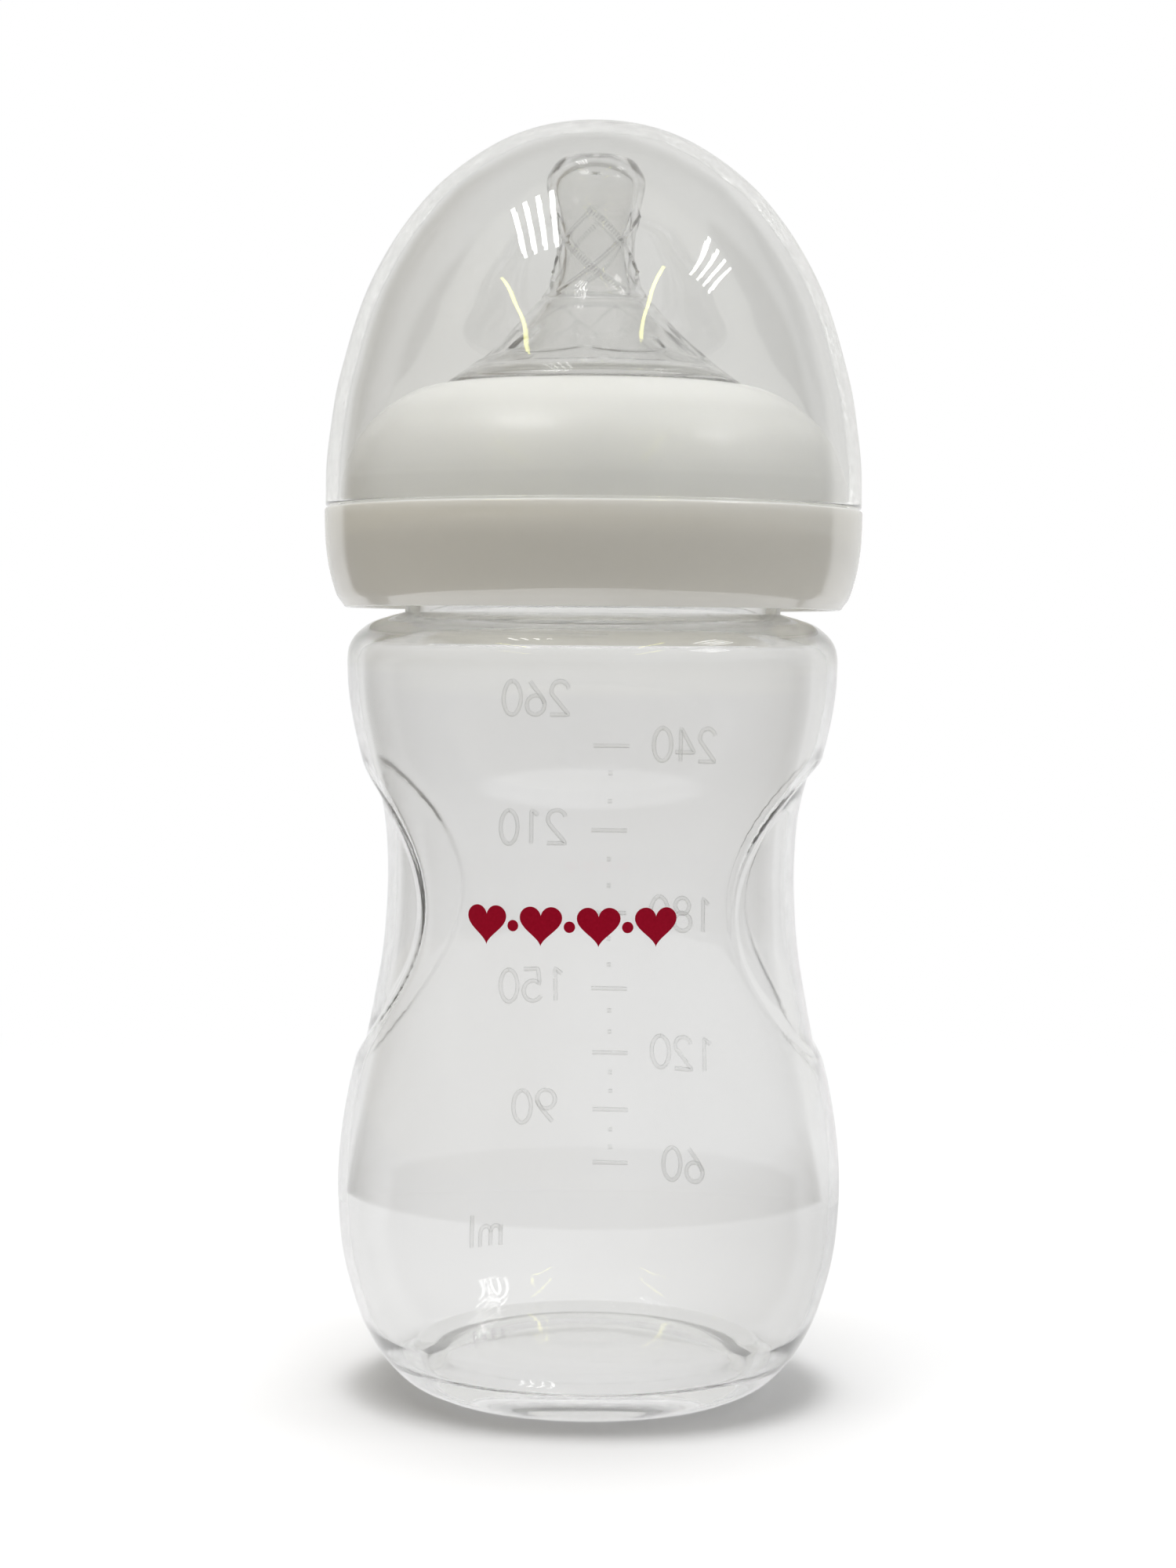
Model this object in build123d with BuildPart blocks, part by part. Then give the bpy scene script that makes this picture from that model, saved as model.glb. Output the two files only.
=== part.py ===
from build123d import *
import os

# Baby bottle: container, teat, screw ring and dome cap. Millimetres, +Z up, the base on z = 0.
# The front faces -Y, the moulded scale is on the back (+Y) and the finger grips are at +X and -X.

# ---- container ----
wall = 1.3                # side wall
base_wall = 1.7           # floor
base_ring_r = 22.6        # outer edge of the flat standing ring
base_ring_w = 1.3         # width of the standing ring
punt_height = 3.6         # rise of the floor inside the standing ring
belly_r = 34.95           # widest radius
belly_z = 27.0
heel_in, heel_z = 5.85, 5.2       # points on the rounding of the heel, in from the belly
heel_top_in, heel_top_z = 1.95, 13.8
low_in, low_z = 0.6, 36.8         # points on the side above it
mid_in, mid_z = 2.85, 47.6
waist_r = 29.2            # narrowest radius of the waist
waist_z = 69.5
chest_in, chest_z = 2.0, 87.7      # in from the shoulder
shoulder_r = 33.95        # widest radius of the shoulder
shoulder_z = 101.0
shoulder_in = 3.35        # how far the shoulder has closed in at its top
shoulder_rise = 5.3       # height of its rounding
neck_rise = 1.3           # last rise from there to the foot of the neck
neck_r = 26.0             # outside of the neck between its threads
neck_wall = 1.9
neck_h = 16.4             # height of the neck
rim_round = 0.5

# ---- finger grips ----
grip_r = 19.8             # radius of each round recess, seen from the side
grip_z = 66.6             # height of its centre
grip_depth = 1.0          # depth of the recess
cutter_reach = 5.0        # how far a cutter runs past the side

# ---- moulded scale on the back ----
mark_relief = 0.35        # how far the marks stand out
mark_sink = 0.5           # how far their roots are sunk in the wall
tick_w, tick_h = 6.3, 0.9
dot_r = 0.55
tick_z = (87.9, 75.5, 63.2, 51.7, 41.8, 32.9, 24.8)
dot_z = (84.0, 80.0, 71.2, 67.4, 59.4, 55.4, 48.4, 45.1, 38.8, 35.8, 29.9, 27.2)
mark_foot = 6.0           # how far the scale may run below the belly

# ---- screw thread shared by the neck and the ring ----
pitch = 6.0
thread_depth = 1.7        # radial height of each ridge
ridge_root = 2.7          # width of a ridge at its root
ridge_crest = 1.1         # width of a ridge at its crest
thread_sink = 0.3         # how far a ridge is sunk in its wall
thread_gap = 0.3          # radial running gap between crest and root
thread_rise = 5.4         # start of the neck's ridge above the foot of the neck
neck_thread_turns = 1.4
ring_thread_turns = 1.4

# ---- seats ----
seat_gap = 0.3            # gap left at each seat and around each piece that moves

# ---- teat ----
flange_t = 1.8            # thickness of the flange clamped on the rim
flange_play = 0.5         # room between the flange and the ring's sleeve
teat_wall = 1.7
drum_in = 1.5             # how far the drum under the ring's lip is inside the mouth
drum_h = 14.4             # top of the ring above the rim of the mouth
bead_hold = 1.0           # how far the bead reaches over the lip
bead_t = 1.5
cone_low_r, cone_low_rise = 15.4, 2.8     # points up the cone and the nipple, each with
cone_mid_r, cone_mid_rise = 10.1, 5.0     # its rise above the one before
cone_top_r, cone_top_rise = 6.5, 3.9
nipple_neck_r, nipple_neck_rise = 5.45, 4.6
nipple_tip_r, nipple_tip_rise = 6.9, 7.7
tip_rise = 6.3
nipple_wall = 1.4
feed_hole_r = 0.45

# ---- screw ring ----
ring_wall = 1.5
hollow_w = 4.0            # space between the sleeve and the outer wall
ring_foot_gap = 0.6       # gap between the skirt's lower edge and the foot of the neck
skirt_mid_in, skirt_mid_rise = 0.75, 5.0  # taper of the skirt half way down
skirt_low_in = 2.25       # and at its lower edge
band_h = 2.2              # height of the straight band under the ledge
ledge_drop = 2.2          # ledge the cap rests on, below the rim of the mouth
ledge_past = 0.15         # how far the ledge stands out past the cap
seat_h = 3.0              # wall that centres the cap
crown_in, crown_drop = 4.8, 4.4           # a point on the crown, from the seat and the top
crown_under = 0.3         # thickness set-off where the sleeve meets the crown
lip_edge = 0.3            # flat top reaches this far out past the drum
lip_w = 3.1               # lip over the drum
lip_t = 1.7
clamp_t = 1.6             # plate that presses the teat's flange
clamp_play = 2.0          # room between that plate and the drum
sleeve_up = 0.8           # the sleeve ends this far above the skirt

# ---- dome cap ----
cap_wall = 1.7
cap_mid_in, cap_mid_rise = 2.5, 20.3      # points up the side, from the rim
cap_high_in, cap_high_drop = 11.8, 13.0   # and near the top, down from it
cap_room = 2.8            # room above the teat

# ---- what follows from them ----
heel_r, heel_top_r = belly_r - heel_in, belly_r - heel_top_in
low_r, mid_r = belly_r - low_in, belly_r - mid_in
chest_r = shoulder_r - chest_in
shoulder_top_r, shoulder_top_z = shoulder_r - shoulder_in, shoulder_z + shoulder_rise
neck_root_z = shoulder_top_z + neck_rise
neck_top_z = neck_root_z + neck_h
neck_thread_z = neck_root_z + thread_rise
ring_bore = neck_r + thread_depth + thread_gap      # wall the ring's ridge stands on
sleeve_r = ring_bore + ring_wall
cap_seat_r = sleeve_r + hollow_w + ring_wall
cap_r = cap_seat_r + seat_gap + cap_wall
ledge_r = cap_r + ledge_past
ledge_z = neck_top_z - ledge_drop
lip_z = neck_top_z + drum_h
lip_low = lip_z - lip_t
drum_r = neck_r - neck_wall - drum_in
lip_edge_r = drum_r + lip_edge
lip_bore = drum_r - lip_w
groove_r = lip_bore - seat_gap
bead_r = lip_bore + bead_hold
flange_low = neck_top_z + seat_gap
flange_top = flange_low + flange_t
flange_r = ring_bore - flange_play
bead_low = lip_z + seat_gap
bead_top = bead_low + bead_t
cone_low_z = bead_top + cone_low_rise
cone_mid_z = cone_low_z + cone_mid_rise
cone_top_z = cone_mid_z + cone_top_rise
nipple_neck_z = cone_top_z + nipple_neck_rise
nipple_tip_z = nipple_neck_z + nipple_tip_rise
teat_top_z = nipple_tip_z + tip_rise
clamp_r = drum_r + clamp_play
clamp_low = flange_top + seat_gap
clamp_top = clamp_low + clamp_t
crown_r, crown_z = cap_seat_r - crown_in, lip_z - crown_drop
skirt_low_z = neck_root_z + ring_foot_gap
skirt_low_r = ledge_r - skirt_low_in
skirt_mid_r, skirt_mid_z = ledge_r - skirt_mid_in, skirt_low_z + skirt_mid_rise
sleeve_low_z = skirt_low_z + sleeve_up
cap_low_z = ledge_z + seat_gap
cap_top_z = teat_top_z + cap_room + cap_wall
cap_mid_r, cap_mid_z = cap_r - cap_mid_in, cap_low_z + cap_mid_rise
cap_high_r, cap_high_z = cap_r - cap_high_in, cap_top_z - cap_high_drop

os.makedirs("parts", exist_ok=True)

# ================= bottle =================
side_low = ((heel_r, heel_z), (heel_top_r, heel_top_z), (belly_r, belly_z))
side = ((belly_r, belly_z), (low_r, low_z), (mid_r, mid_z), (waist_r, waist_z),
        (chest_r, chest_z), (shoulder_r, shoulder_z))


def shift(points, inset):
    """The same outline, moved towards the axis by inset."""
    return [(r - inset, z) for r, z in points]


def shell_outline(inset, foot_r, foot_z, punt_z, neck_side, neck_foot_z, mouth):
    """Closed half outline of the container, or of the space inside it, which has a mouth."""
    low, up = shift(side_low, inset), shift(side, inset)
    shoulder_top = (shoulder_top_r - inset, shoulder_top_z - inset)
    centre = (0, punt_z)
    foot_in = (foot_r - base_ring_w, foot_z)
    Spline((foot_r, foot_z), *low, tangents=((1, 0.12), (0, 1)))
    Spline(*up, tangents=((0, 1), (0, 1)))
    Spline(up[-1], shoulder_top, (neck_side, neck_foot_z), tangents=((0, 1), (-1, 0.12)))
    round_z = neck_top_z - rim_round
    Line((neck_side, neck_foot_z), (neck_side, round_z))
    if mouth:
        CenterArc((neck_side + rim_round, round_z), rim_round, 180, -90)
        Polyline((neck_side + rim_round, neck_top_z), (neck_side + rim_round, neck_top_z + wall),
                 (0, neck_top_z + wall), centre)
    else:
        CenterArc((neck_side - rim_round, round_z), rim_round, 0, 90)
        Polyline((neck_side - rim_round, neck_top_z), (0, neck_top_z), centre)
    Spline(centre, foot_in, tangents=((1, 0), (1, -0.9)))
    Line(foot_in, (foot_r, foot_z))


# What a grip leaves standing: the side itself, slimmer by the depth of the grips.
def pad_outline(inset):
    """Closed half outline of the floor of the grips."""
    path = shift(side, grip_depth + inset)
    Spline(*path, tangents=((0, 1), (0, 1)))
    Polyline(path[-1], (0, shoulder_z), (0, belly_z), path[0])


def grip_cutter(inset):
    """Both recesses as one cutter: a bar along X less the body of the grip floors."""
    with BuildPart() as cutter:
        with BuildSketch(Plane.YZ):
            with Locations((0, grip_z)):
                Circle(grip_r + inset)
        extrude(amount=belly_r + cutter_reach, both=True)
        with BuildSketch(Plane.XZ):
            with BuildLine():
                pad_outline(inset)
            make_face()
        revolve(axis=Axis.Z, mode=Mode.SUBTRACT)
    return cutter.part


outer_grips = grip_cutter(0)
inner_grips = grip_cutter(wall)

# Marks of the scale: bars and studs along +Y, trimmed to a skin that stands proud of the side.
with BuildPart() as marks:
    with BuildSketch(Plane.XZ) as mark_faces:
        with Locations(*[(0, z) for z in tick_z]):
            SlotOverall(tick_w, tick_h)
        with Locations(*[(0, z) for z in dot_z]):
            Circle(dot_r)
    extrude(amount=-(belly_r + cutter_reach))
    with BuildSketch(Plane.XZ):
        with BuildLine():
            proud, sunk = shift(side, -mark_relief), shift(side, mark_sink)
            Spline(*proud, tangents=((0, 1), (0, 1)))
            Line(proud[-1], sunk[-1])
            Spline(*sunk, tangents=((0, 1), (0, 1)))
            Polyline(sunk[0], (sunk[0][0], belly_z - mark_foot),
                     (proud[0][0], belly_z - mark_foot), proud[0])
        make_face()
    revolve(axis=Axis.Z, mode=Mode.INTERSECT)

with BuildPart() as cavity:
    with BuildSketch(Plane.XZ):
        with BuildLine():
            shell_outline(wall, base_ring_r, base_wall, punt_height + base_wall,
                          neck_r - neck_wall, neck_root_z - wall, True)
        make_face()
    revolve(axis=Axis.Z)
    add(inner_grips, mode=Mode.SUBTRACT)

# A ridge of the thread: a trapezium swept up a helix.
def ridge(root_r, outward, start_z, turns):
    """One helical ridge on a wall of radius root_r, standing out or in, starting at the back."""
    sign = 1 if outward else -1
    helix = Helix(pitch, pitch * turns, root_r, center=(0, 0, start_z))
    half_root, half_crest = ridge_root / 2, ridge_crest / 2
    with BuildPart() as thread:
        with BuildSketch(Plane(helix @ 0, x_dir=(1, 0, 0), z_dir=helix % 0)):
            with BuildLine():
                Polyline((-thread_sink * sign, -half_root), (-thread_sink * sign, half_root),
                         (0, half_root), (thread_depth * sign, half_crest),
                         (thread_depth * sign, -half_crest), (0, -half_root), close=True)
            make_face()
        sweep(path=helix, is_frenet=True)
    return thread.part.rotate(Axis.Z, 90)


neck_ridge = ridge(neck_r, True, neck_thread_z, neck_thread_turns)

with BuildPart() as bottle:
    with BuildSketch(Plane.XZ):
        with BuildLine():
            shell_outline(0, base_ring_r, 0, punt_height, neck_r, neck_root_z, False)
        make_face()
    revolve(axis=Axis.Z)
    add(neck_ridge)
    add(outer_grips, mode=Mode.SUBTRACT)
    add(cavity.part, mode=Mode.SUBTRACT)
    add(marks.part)
bottle.part.label = "bottle"
export_step(bottle.part, "parts/bottle.step")

# ================= teat =================
with BuildPart() as teat:
    with BuildSketch(Plane.XZ):
        with BuildLine():
            # Outside, from the flange up to the tip.
            Polyline((drum_r - teat_wall, flange_low), (flange_r, flange_low),
                     (flange_r, flange_top), (drum_r, flange_top),
                     (drum_r, lip_low - seat_gap), (groove_r, lip_low - seat_gap),
                     (groove_r, bead_low), (bead_r, bead_low), (bead_r, bead_top))
            Spline((bead_r, bead_top), (cone_low_r, cone_low_z), (cone_mid_r, cone_mid_z),
                   (cone_top_r, cone_top_z), (nipple_neck_r, nipple_neck_z),
                   (nipple_tip_r, nipple_tip_z), (feed_hole_r, teat_top_z),
                   tangents=((-1, 0.35), (-1, 0)))
            # Inside, back down to the flange.
            inner_top = teat_top_z - nipple_wall
            Line((feed_hole_r, teat_top_z), (feed_hole_r, inner_top))
            Spline((feed_hole_r, inner_top), (nipple_tip_r - nipple_wall, nipple_tip_z),
                   (nipple_neck_r - nipple_wall, nipple_neck_z),
                   (cone_top_r - 0.9 * nipple_wall, cone_top_z - 0.5 * nipple_wall),
                   (cone_mid_r - 0.7 * teat_wall, cone_mid_z - 0.7 * teat_wall),
                   (cone_low_r - 0.5 * teat_wall, cone_low_z - 0.9 * teat_wall),
                   tangents=((1, 0), (1, -0.8)))
            Polyline((cone_low_r - 0.5 * teat_wall, cone_low_z - 0.9 * teat_wall),
                     (groove_r - teat_wall, bead_low),
                     (groove_r - teat_wall, lip_low - seat_gap - teat_wall),
                     (drum_r - teat_wall, lip_low - seat_gap - teat_wall),
                     (drum_r - teat_wall, flange_low))
        make_face()
    revolve(axis=Axis.Z)
teat.part.label = "teat"
export_step(teat.part, "parts/teat.step")

# ================= screw ring =================
# The ring's ridge hangs just under the neck's ridge, with the seat gap between their flanks.
flank = (ridge_root - ridge_crest) / thread_depth
ridge_drop = ridge_root - flank * (thread_depth + thread_gap) / 2 + seat_gap
ring_ridge = ridge(ring_bore, False, neck_thread_z - ridge_drop, ring_thread_turns)

with BuildPart() as screw_ring:
    with BuildSketch(Plane.XZ):
        with BuildLine():
            # Outside, from the skirt's edge to the lip.
            Spline((skirt_low_r, skirt_low_z), (skirt_mid_r, skirt_mid_z),
                   (ledge_r, ledge_z - band_h), tangents=((0.45, 1), (0, 1)))
            Polyline((ledge_r, ledge_z - band_h), (ledge_r, ledge_z),
                     (cap_seat_r, ledge_z), (cap_seat_r, ledge_z + seat_h))
            Spline((cap_seat_r, ledge_z + seat_h), (crown_r, crown_z), (lip_edge_r, lip_z),
                   tangents=((0, 1), (-1, 0.25)))
            Polyline((lip_edge_r, lip_z), (lip_bore, lip_z), (lip_bore, lip_low),
                     (lip_edge_r, lip_low))
            # Under the crown, then down the sleeve, the clamp plate and the skirt.
            Spline((lip_edge_r, lip_low), (ring_bore, crown_z + crown_under),
                   tangents=((1, -0.2), (1, -0.8)))
            Polyline((ring_bore, crown_z + crown_under), (ring_bore, clamp_top), (clamp_r, clamp_top),
                     (clamp_r, clamp_low), (ring_bore, clamp_low), (ring_bore, sleeve_low_z),
                     (sleeve_r, sleeve_low_z), (sleeve_r, crown_z - ring_wall + crown_under))
            Spline((sleeve_r, crown_z - ring_wall + crown_under), (cap_seat_r - ring_wall, ledge_z + seat_h),
                   tangents=((1, -0.9), (0.1, -1)))
            Polyline((cap_seat_r - ring_wall, ledge_z + seat_h),
                     (cap_seat_r - ring_wall, ledge_z - ring_wall),
                     (ledge_r - ring_wall, ledge_z - band_h - ring_wall))
            Spline((ledge_r - ring_wall, ledge_z - band_h - ring_wall),
                   (skirt_mid_r - ring_wall, skirt_mid_z), (skirt_low_r - ring_wall, skirt_low_z),
                   tangents=((0, -1), (-0.45, -1)))
            Line((skirt_low_r - ring_wall, skirt_low_z), (skirt_low_r, skirt_low_z))
        make_face()
    revolve(axis=Axis.Z)
    add(ring_ridge)
screw_ring.part.label = "screw_ring"
export_step(screw_ring.part, "parts/screw_ring.step")

# ================= dome cap =================
with BuildPart() as dome_cap:
    with BuildSketch(Plane.XZ):
        with BuildLine():
            Spline((cap_r, cap_low_z), (cap_mid_r, cap_mid_z), (cap_high_r, cap_high_z),
                   (0, cap_top_z), tangents=((0, 1), (-1, 0)))
            Line((0, cap_top_z), (0, cap_top_z - cap_wall))
            Spline((0, cap_top_z - cap_wall),
                   (cap_high_r - cap_wall * 0.75, cap_high_z - cap_wall * 0.75),
                   (cap_mid_r - cap_wall, cap_mid_z), (cap_r - cap_wall, cap_low_z),
                   tangents=((1, 0), (0, -1)))
            Line((cap_r - cap_wall, cap_low_z), (cap_r, cap_low_z))
        make_face()
    revolve(axis=Axis.Z)
dome_cap.part.label = "dome_cap"
export_step(dome_cap.part, "parts/dome_cap.step")
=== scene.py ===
import math
import bpy
import bmesh
import numpy as np
from mathutils import Matrix, Vector


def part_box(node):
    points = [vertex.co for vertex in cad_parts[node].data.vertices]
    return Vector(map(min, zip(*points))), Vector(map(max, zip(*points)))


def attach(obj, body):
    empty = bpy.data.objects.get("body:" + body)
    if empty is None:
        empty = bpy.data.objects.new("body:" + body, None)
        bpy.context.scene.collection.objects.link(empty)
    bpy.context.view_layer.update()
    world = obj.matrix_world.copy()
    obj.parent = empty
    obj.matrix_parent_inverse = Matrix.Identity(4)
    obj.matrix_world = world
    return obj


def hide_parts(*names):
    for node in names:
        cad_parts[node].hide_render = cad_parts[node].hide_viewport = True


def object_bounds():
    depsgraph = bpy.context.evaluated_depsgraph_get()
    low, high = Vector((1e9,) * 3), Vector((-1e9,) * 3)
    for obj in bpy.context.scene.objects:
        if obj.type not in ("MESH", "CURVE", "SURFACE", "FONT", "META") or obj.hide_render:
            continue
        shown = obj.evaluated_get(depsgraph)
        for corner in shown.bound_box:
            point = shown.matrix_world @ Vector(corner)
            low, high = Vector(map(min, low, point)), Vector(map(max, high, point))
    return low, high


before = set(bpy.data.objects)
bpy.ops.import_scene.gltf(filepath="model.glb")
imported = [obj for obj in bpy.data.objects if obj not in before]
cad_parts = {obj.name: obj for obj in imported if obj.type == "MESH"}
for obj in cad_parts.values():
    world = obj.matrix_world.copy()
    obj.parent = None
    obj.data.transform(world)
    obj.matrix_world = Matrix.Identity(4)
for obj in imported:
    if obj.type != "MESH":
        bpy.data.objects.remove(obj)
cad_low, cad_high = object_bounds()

MM = 0.001
DOME_TOP = cad_high.z / MM          # 175 mm
NECK_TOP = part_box("bottle")[1].z / MM
TEAT_LOW, TEAT_TOP = (v.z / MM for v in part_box("teat"))
RING_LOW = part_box("screw_ring")[0].z / MM
CAP_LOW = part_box("dome_cap")[0].z / MM


# ---------------------------------------------------------------- outlines
def smooth(points, step=1.0):
    """A centripetal spline through (radius, height) points, sampled about every step."""
    p = np.array(points, float)
    p = np.vstack([2 * p[0] - p[1], p, 2 * p[-1] - p[-2]])
    out = []
    for i in range(1, len(p) - 2):
        a, b, c, d = p[i - 1], p[i], p[i + 1], p[i + 2]
        t0 = 0.0
        t1 = t0 + np.linalg.norm(b - a) ** 0.5
        t2 = t1 + np.linalg.norm(c - b) ** 0.5
        t3 = t2 + np.linalg.norm(d - c) ** 0.5
        n = max(2, int(round(np.linalg.norm(c - b) / step)))
        for t in np.linspace(t1, t2, n, endpoint=False):
            a1 = (t1 - t) / (t1 - t0) * a + (t - t0) / (t1 - t0) * b
            a2 = (t2 - t) / (t2 - t1) * b + (t - t1) / (t2 - t1) * c
            a3 = (t3 - t) / (t3 - t2) * c + (t - t2) / (t3 - t2) * d
            b1 = (t2 - t) / (t2 - t0) * a1 + (t - t0) / (t2 - t0) * a2
            b2 = (t3 - t) / (t3 - t1) * a2 + (t - t1) / (t3 - t1) * a3
            out.append((t2 - t) / (t2 - t1) * b1 + (t - t1) / (t2 - t1) * b2)
    out.append(p[-2])
    return np.array(out)


def rounded(points, radii, steps=5):
    """A polyline with each inner corner rounded by its radius."""
    p = [np.array(q, float) for q in points]
    out = [p[0]]
    for i in range(1, len(p) - 1):
        r = radii[i] if isinstance(radii, (list, tuple)) else radii
        u, v = p[i - 1] - p[i], p[i + 1] - p[i]
        lu, lv = np.linalg.norm(u), np.linalg.norm(v)
        u, v = u / lu, v / lv
        half = math.acos(max(-1, min(1, float(u @ v)))) / 2
        if r <= 0 or half > 1.53:
            out.append(p[i])
            continue
        cut = min(r / math.tan(half), 0.49 * lu, 0.49 * lv)
        a, b = p[i] + u * cut, p[i] + v * cut
        for t in np.linspace(0, 1, steps):
            out.append((1 - t) ** 2 * a + 2 * t * (1 - t) * p[i] + t * t * b)
    out.append(p[-1])
    return np.array(out)


def step01(x):
    x = np.clip(x, 0, 1)
    return x * x * x * (x * (6 * x - 15) + 10)


# ---------------------------------------------------------------- meshes
def mesh_object(name, verts, faces, material):
    mesh = bpy.data.meshes.new(name)
    mesh.from_pydata([tuple(v) for v in verts], [], faces)
    mesh.validate()
    bm = bmesh.new()
    bm.from_mesh(mesh)
    bmesh.ops.recalc_face_normals(bm, faces=bm.faces)
    if bm.calc_volume(signed=True) < 0:
        bmesh.ops.reverse_faces(bm, faces=bm.faces)
    bm.to_mesh(mesh)
    bm.free()
    mesh.polygons.foreach_set("use_smooth", [True] * len(mesh.polygons))
    obj = bpy.data.objects.new(name, mesh)
    bpy.context.scene.collection.objects.link(obj)
    mesh.materials.append(material)
    return obj


def turned(name, rows, turns, material, radius_at=None, closed=False):
    """A body spun about Z: rows of (radius, height) in mm, one ring of points for each row.
    Rows on the axis become poles. A closed outline joins its last row to its first."""
    verts, rings = [], []
    for i, (r, z) in enumerate(rows):
        if r < 1e-6 and not closed:
            rings.append([len(verts)])
            verts.append((0.0, 0.0, z * MM))
            continue
        rr = np.full(len(turns), r) if radius_at is None else radius_at(i, r, z, turns)
        zz = np.full(len(turns), z)
        if isinstance(rr, tuple):
            rr, zz = rr
        start = len(verts)
        verts.extend(zip(rr * np.cos(turns) * MM, rr * np.sin(turns) * MM, zz * MM))
        rings.append(list(range(start, start + len(turns))))
    faces = []
    n = len(turns)
    pairs = list(zip(rings[:-1], rings[1:]))
    if closed:
        pairs.append((rings[-1], rings[0]))
    for a, b in pairs:
        for k in range(n):
            m = (k + 1) % n
            if len(a) == 1:
                faces.append((a[0], b[k], b[m]))
            elif len(b) == 1:
                faces.append((a[k], a[m], b[0]))
            else:
                faces.append((a[k], a[m], b[m], b[k]))
    return mesh_object(name, verts, faces, material)


def even_turns(n):
    return np.arange(n) * 2 * math.pi / n


# ---------------------------------------------------------------- nodes
def put(tree, value, socket):
    """Sets a socket to a number, or links it to another socket."""
    if isinstance(value, (int, float)):
        socket.default_value = value
    else:
        tree.links.new(value, socket)


def calculated(tree, op, a, b=0.0):
    m = tree.nodes.new("ShaderNodeMath")
    m.operation = op
    put(tree, a, m.inputs[0])
    put(tree, b, m.inputs[1])
    return m.outputs[0]


def combined(tree, x, y, z):
    v = tree.nodes.new("ShaderNodeCombineXYZ")
    put(tree, x, v.inputs["X"])
    put(tree, y, v.inputs["Y"])
    put(tree, z, v.inputs["Z"])
    return v.outputs["Vector"]


# ---------------------------------------------------------------- materials
def new_material(name):
    mat = bpy.data.materials.new(name)
    mat.use_nodes = True
    nt = mat.node_tree
    shader = nt.nodes["Principled BSDF"]
    return mat, nt, shader


def noise(nt, scale, detail=2.0, rough=0.5, stretch=(1, 1, 1)):
    coord = nt.nodes.new("ShaderNodeTexCoord")
    mapping = nt.nodes.new("ShaderNodeMapping")
    mapping.inputs["Scale"].default_value = stretch
    tex = nt.nodes.new("ShaderNodeTexNoise")
    tex.inputs["Scale"].default_value = scale
    tex.inputs["Detail"].default_value = detail
    tex.inputs["Roughness"].default_value = rough
    nt.links.new(coord.outputs["Object"], mapping.inputs["Vector"])
    nt.links.new(mapping.outputs["Vector"], tex.inputs["Vector"])
    return tex


def ramp(nt, source, low, high, start=0.35, end=0.65):
    m = nt.nodes.new("ShaderNodeMapRange")
    m.inputs["From Min"].default_value = start
    m.inputs["From Max"].default_value = end
    m.inputs["To Min"].default_value = low
    m.inputs["To Max"].default_value = high
    nt.links.new(source, m.inputs["Value"])
    return m.outputs["Result"]


def colours(nt, source, low, high, start=0.3, end=0.7):
    m = nt.nodes.new("ShaderNodeMix")
    m.data_type = "RGBA"
    m.inputs["A"].default_value = (*low, 1)
    m.inputs["B"].default_value = (*high, 1)
    nt.links.new(ramp(nt, source, 0, 1, start, end), m.inputs["Factor"])
    return m.outputs["Result"]


def bump(nt, shader, source, strength, distance):
    b = nt.nodes.new("ShaderNodeBump")
    b.inputs["Strength"].default_value = strength
    b.inputs["Distance"].default_value = distance
    nt.links.new(source, b.inputs["Height"])
    nt.links.new(b.outputs["Normal"], shader.inputs["Normal"])


def let_lamps_through(nt, shader, tint):
    """Lamps shine through the clear walls with the tint."""
    path = nt.nodes.new("ShaderNodeLightPath")
    clear = nt.nodes.new("ShaderNodeBsdfTransparent")
    clear.inputs["Color"].default_value = (*tint, 1)
    mix = nt.nodes.new("ShaderNodeMixShader")
    nt.links.new(path.outputs["Is Shadow Ray"], mix.inputs["Fac"])
    nt.links.new(shader.outputs["BSDF"], mix.inputs[1])
    nt.links.new(clear.outputs["BSDF"], mix.inputs[2])
    nt.links.new(mix.outputs["Shader"], nt.nodes["Material Output"].inputs["Surface"])


def clear_plastic(name, low, high, haze, wave_scale, wave, ior, clarity, shade):
    """A clear or hazy wall that bends light by ior and shines like plastic through its coat."""
    mat, nt, shader = new_material(name)
    flow = noise(nt, wave_scale, 3.0, 0.5, (1, 1, 0.6))
    mist = noise(nt, 900, 4.0, 0.6)
    nt.links.new(colours(nt, flow.outputs["Fac"], low, high), shader.inputs["Base Color"])
    nt.links.new(ramp(nt, mist.outputs["Fac"], haze[0], haze[1]), shader.inputs["Roughness"])
    shader.inputs["Transmission Weight"].default_value = clarity
    shader.inputs["IOR"].default_value = ior
    shader.inputs["Coat Weight"].default_value = 1.0
    shader.inputs["Coat Roughness"].default_value = 0.02
    shader.inputs["Coat IOR"].default_value = 1.5
    bump(nt, shader, flow.outputs["Fac"], 1.0, wave)
    let_lamps_through(nt, shader, shade)
    return mat


bottle_plastic = clear_plastic("clear_polypropylene", (0.985, 0.985, 0.982), (0.995, 0.995, 0.993),
                               (0.03, 0.07), 90, 0.00003, 1.2, 0.95, (0.23, 0.23, 0.24))
neck_plastic = clear_plastic("clear_polypropylene_neck", (0.99, 0.99, 0.988), (1.0, 1.0, 0.998),
                             (0.03, 0.07), 90, 0.00003, 1.2, 0.95, (0.95, 0.95, 0.95))
# The moulded marks are the bottle's own clear plastic. Their darker tint is painted shade that makes the
# raised strokes show.
mark_plastic_painted_shade = clear_plastic("clear_moulded_marks_painted_shade", (0.968, 0.968, 0.968), (0.985, 0.985, 0.985),
                             (0.03, 0.07), 90, 0.00003, 1.26, 0.95, (0.7, 0.7, 0.7))
cap_plastic = clear_plastic("clear_cap_plastic", (0.95, 0.95, 0.945), (0.98, 0.98, 0.975),
                            (0.0, 0.03), 60, 0.00002, 1.42, 1.0, (0.97, 0.97, 0.965))
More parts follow.
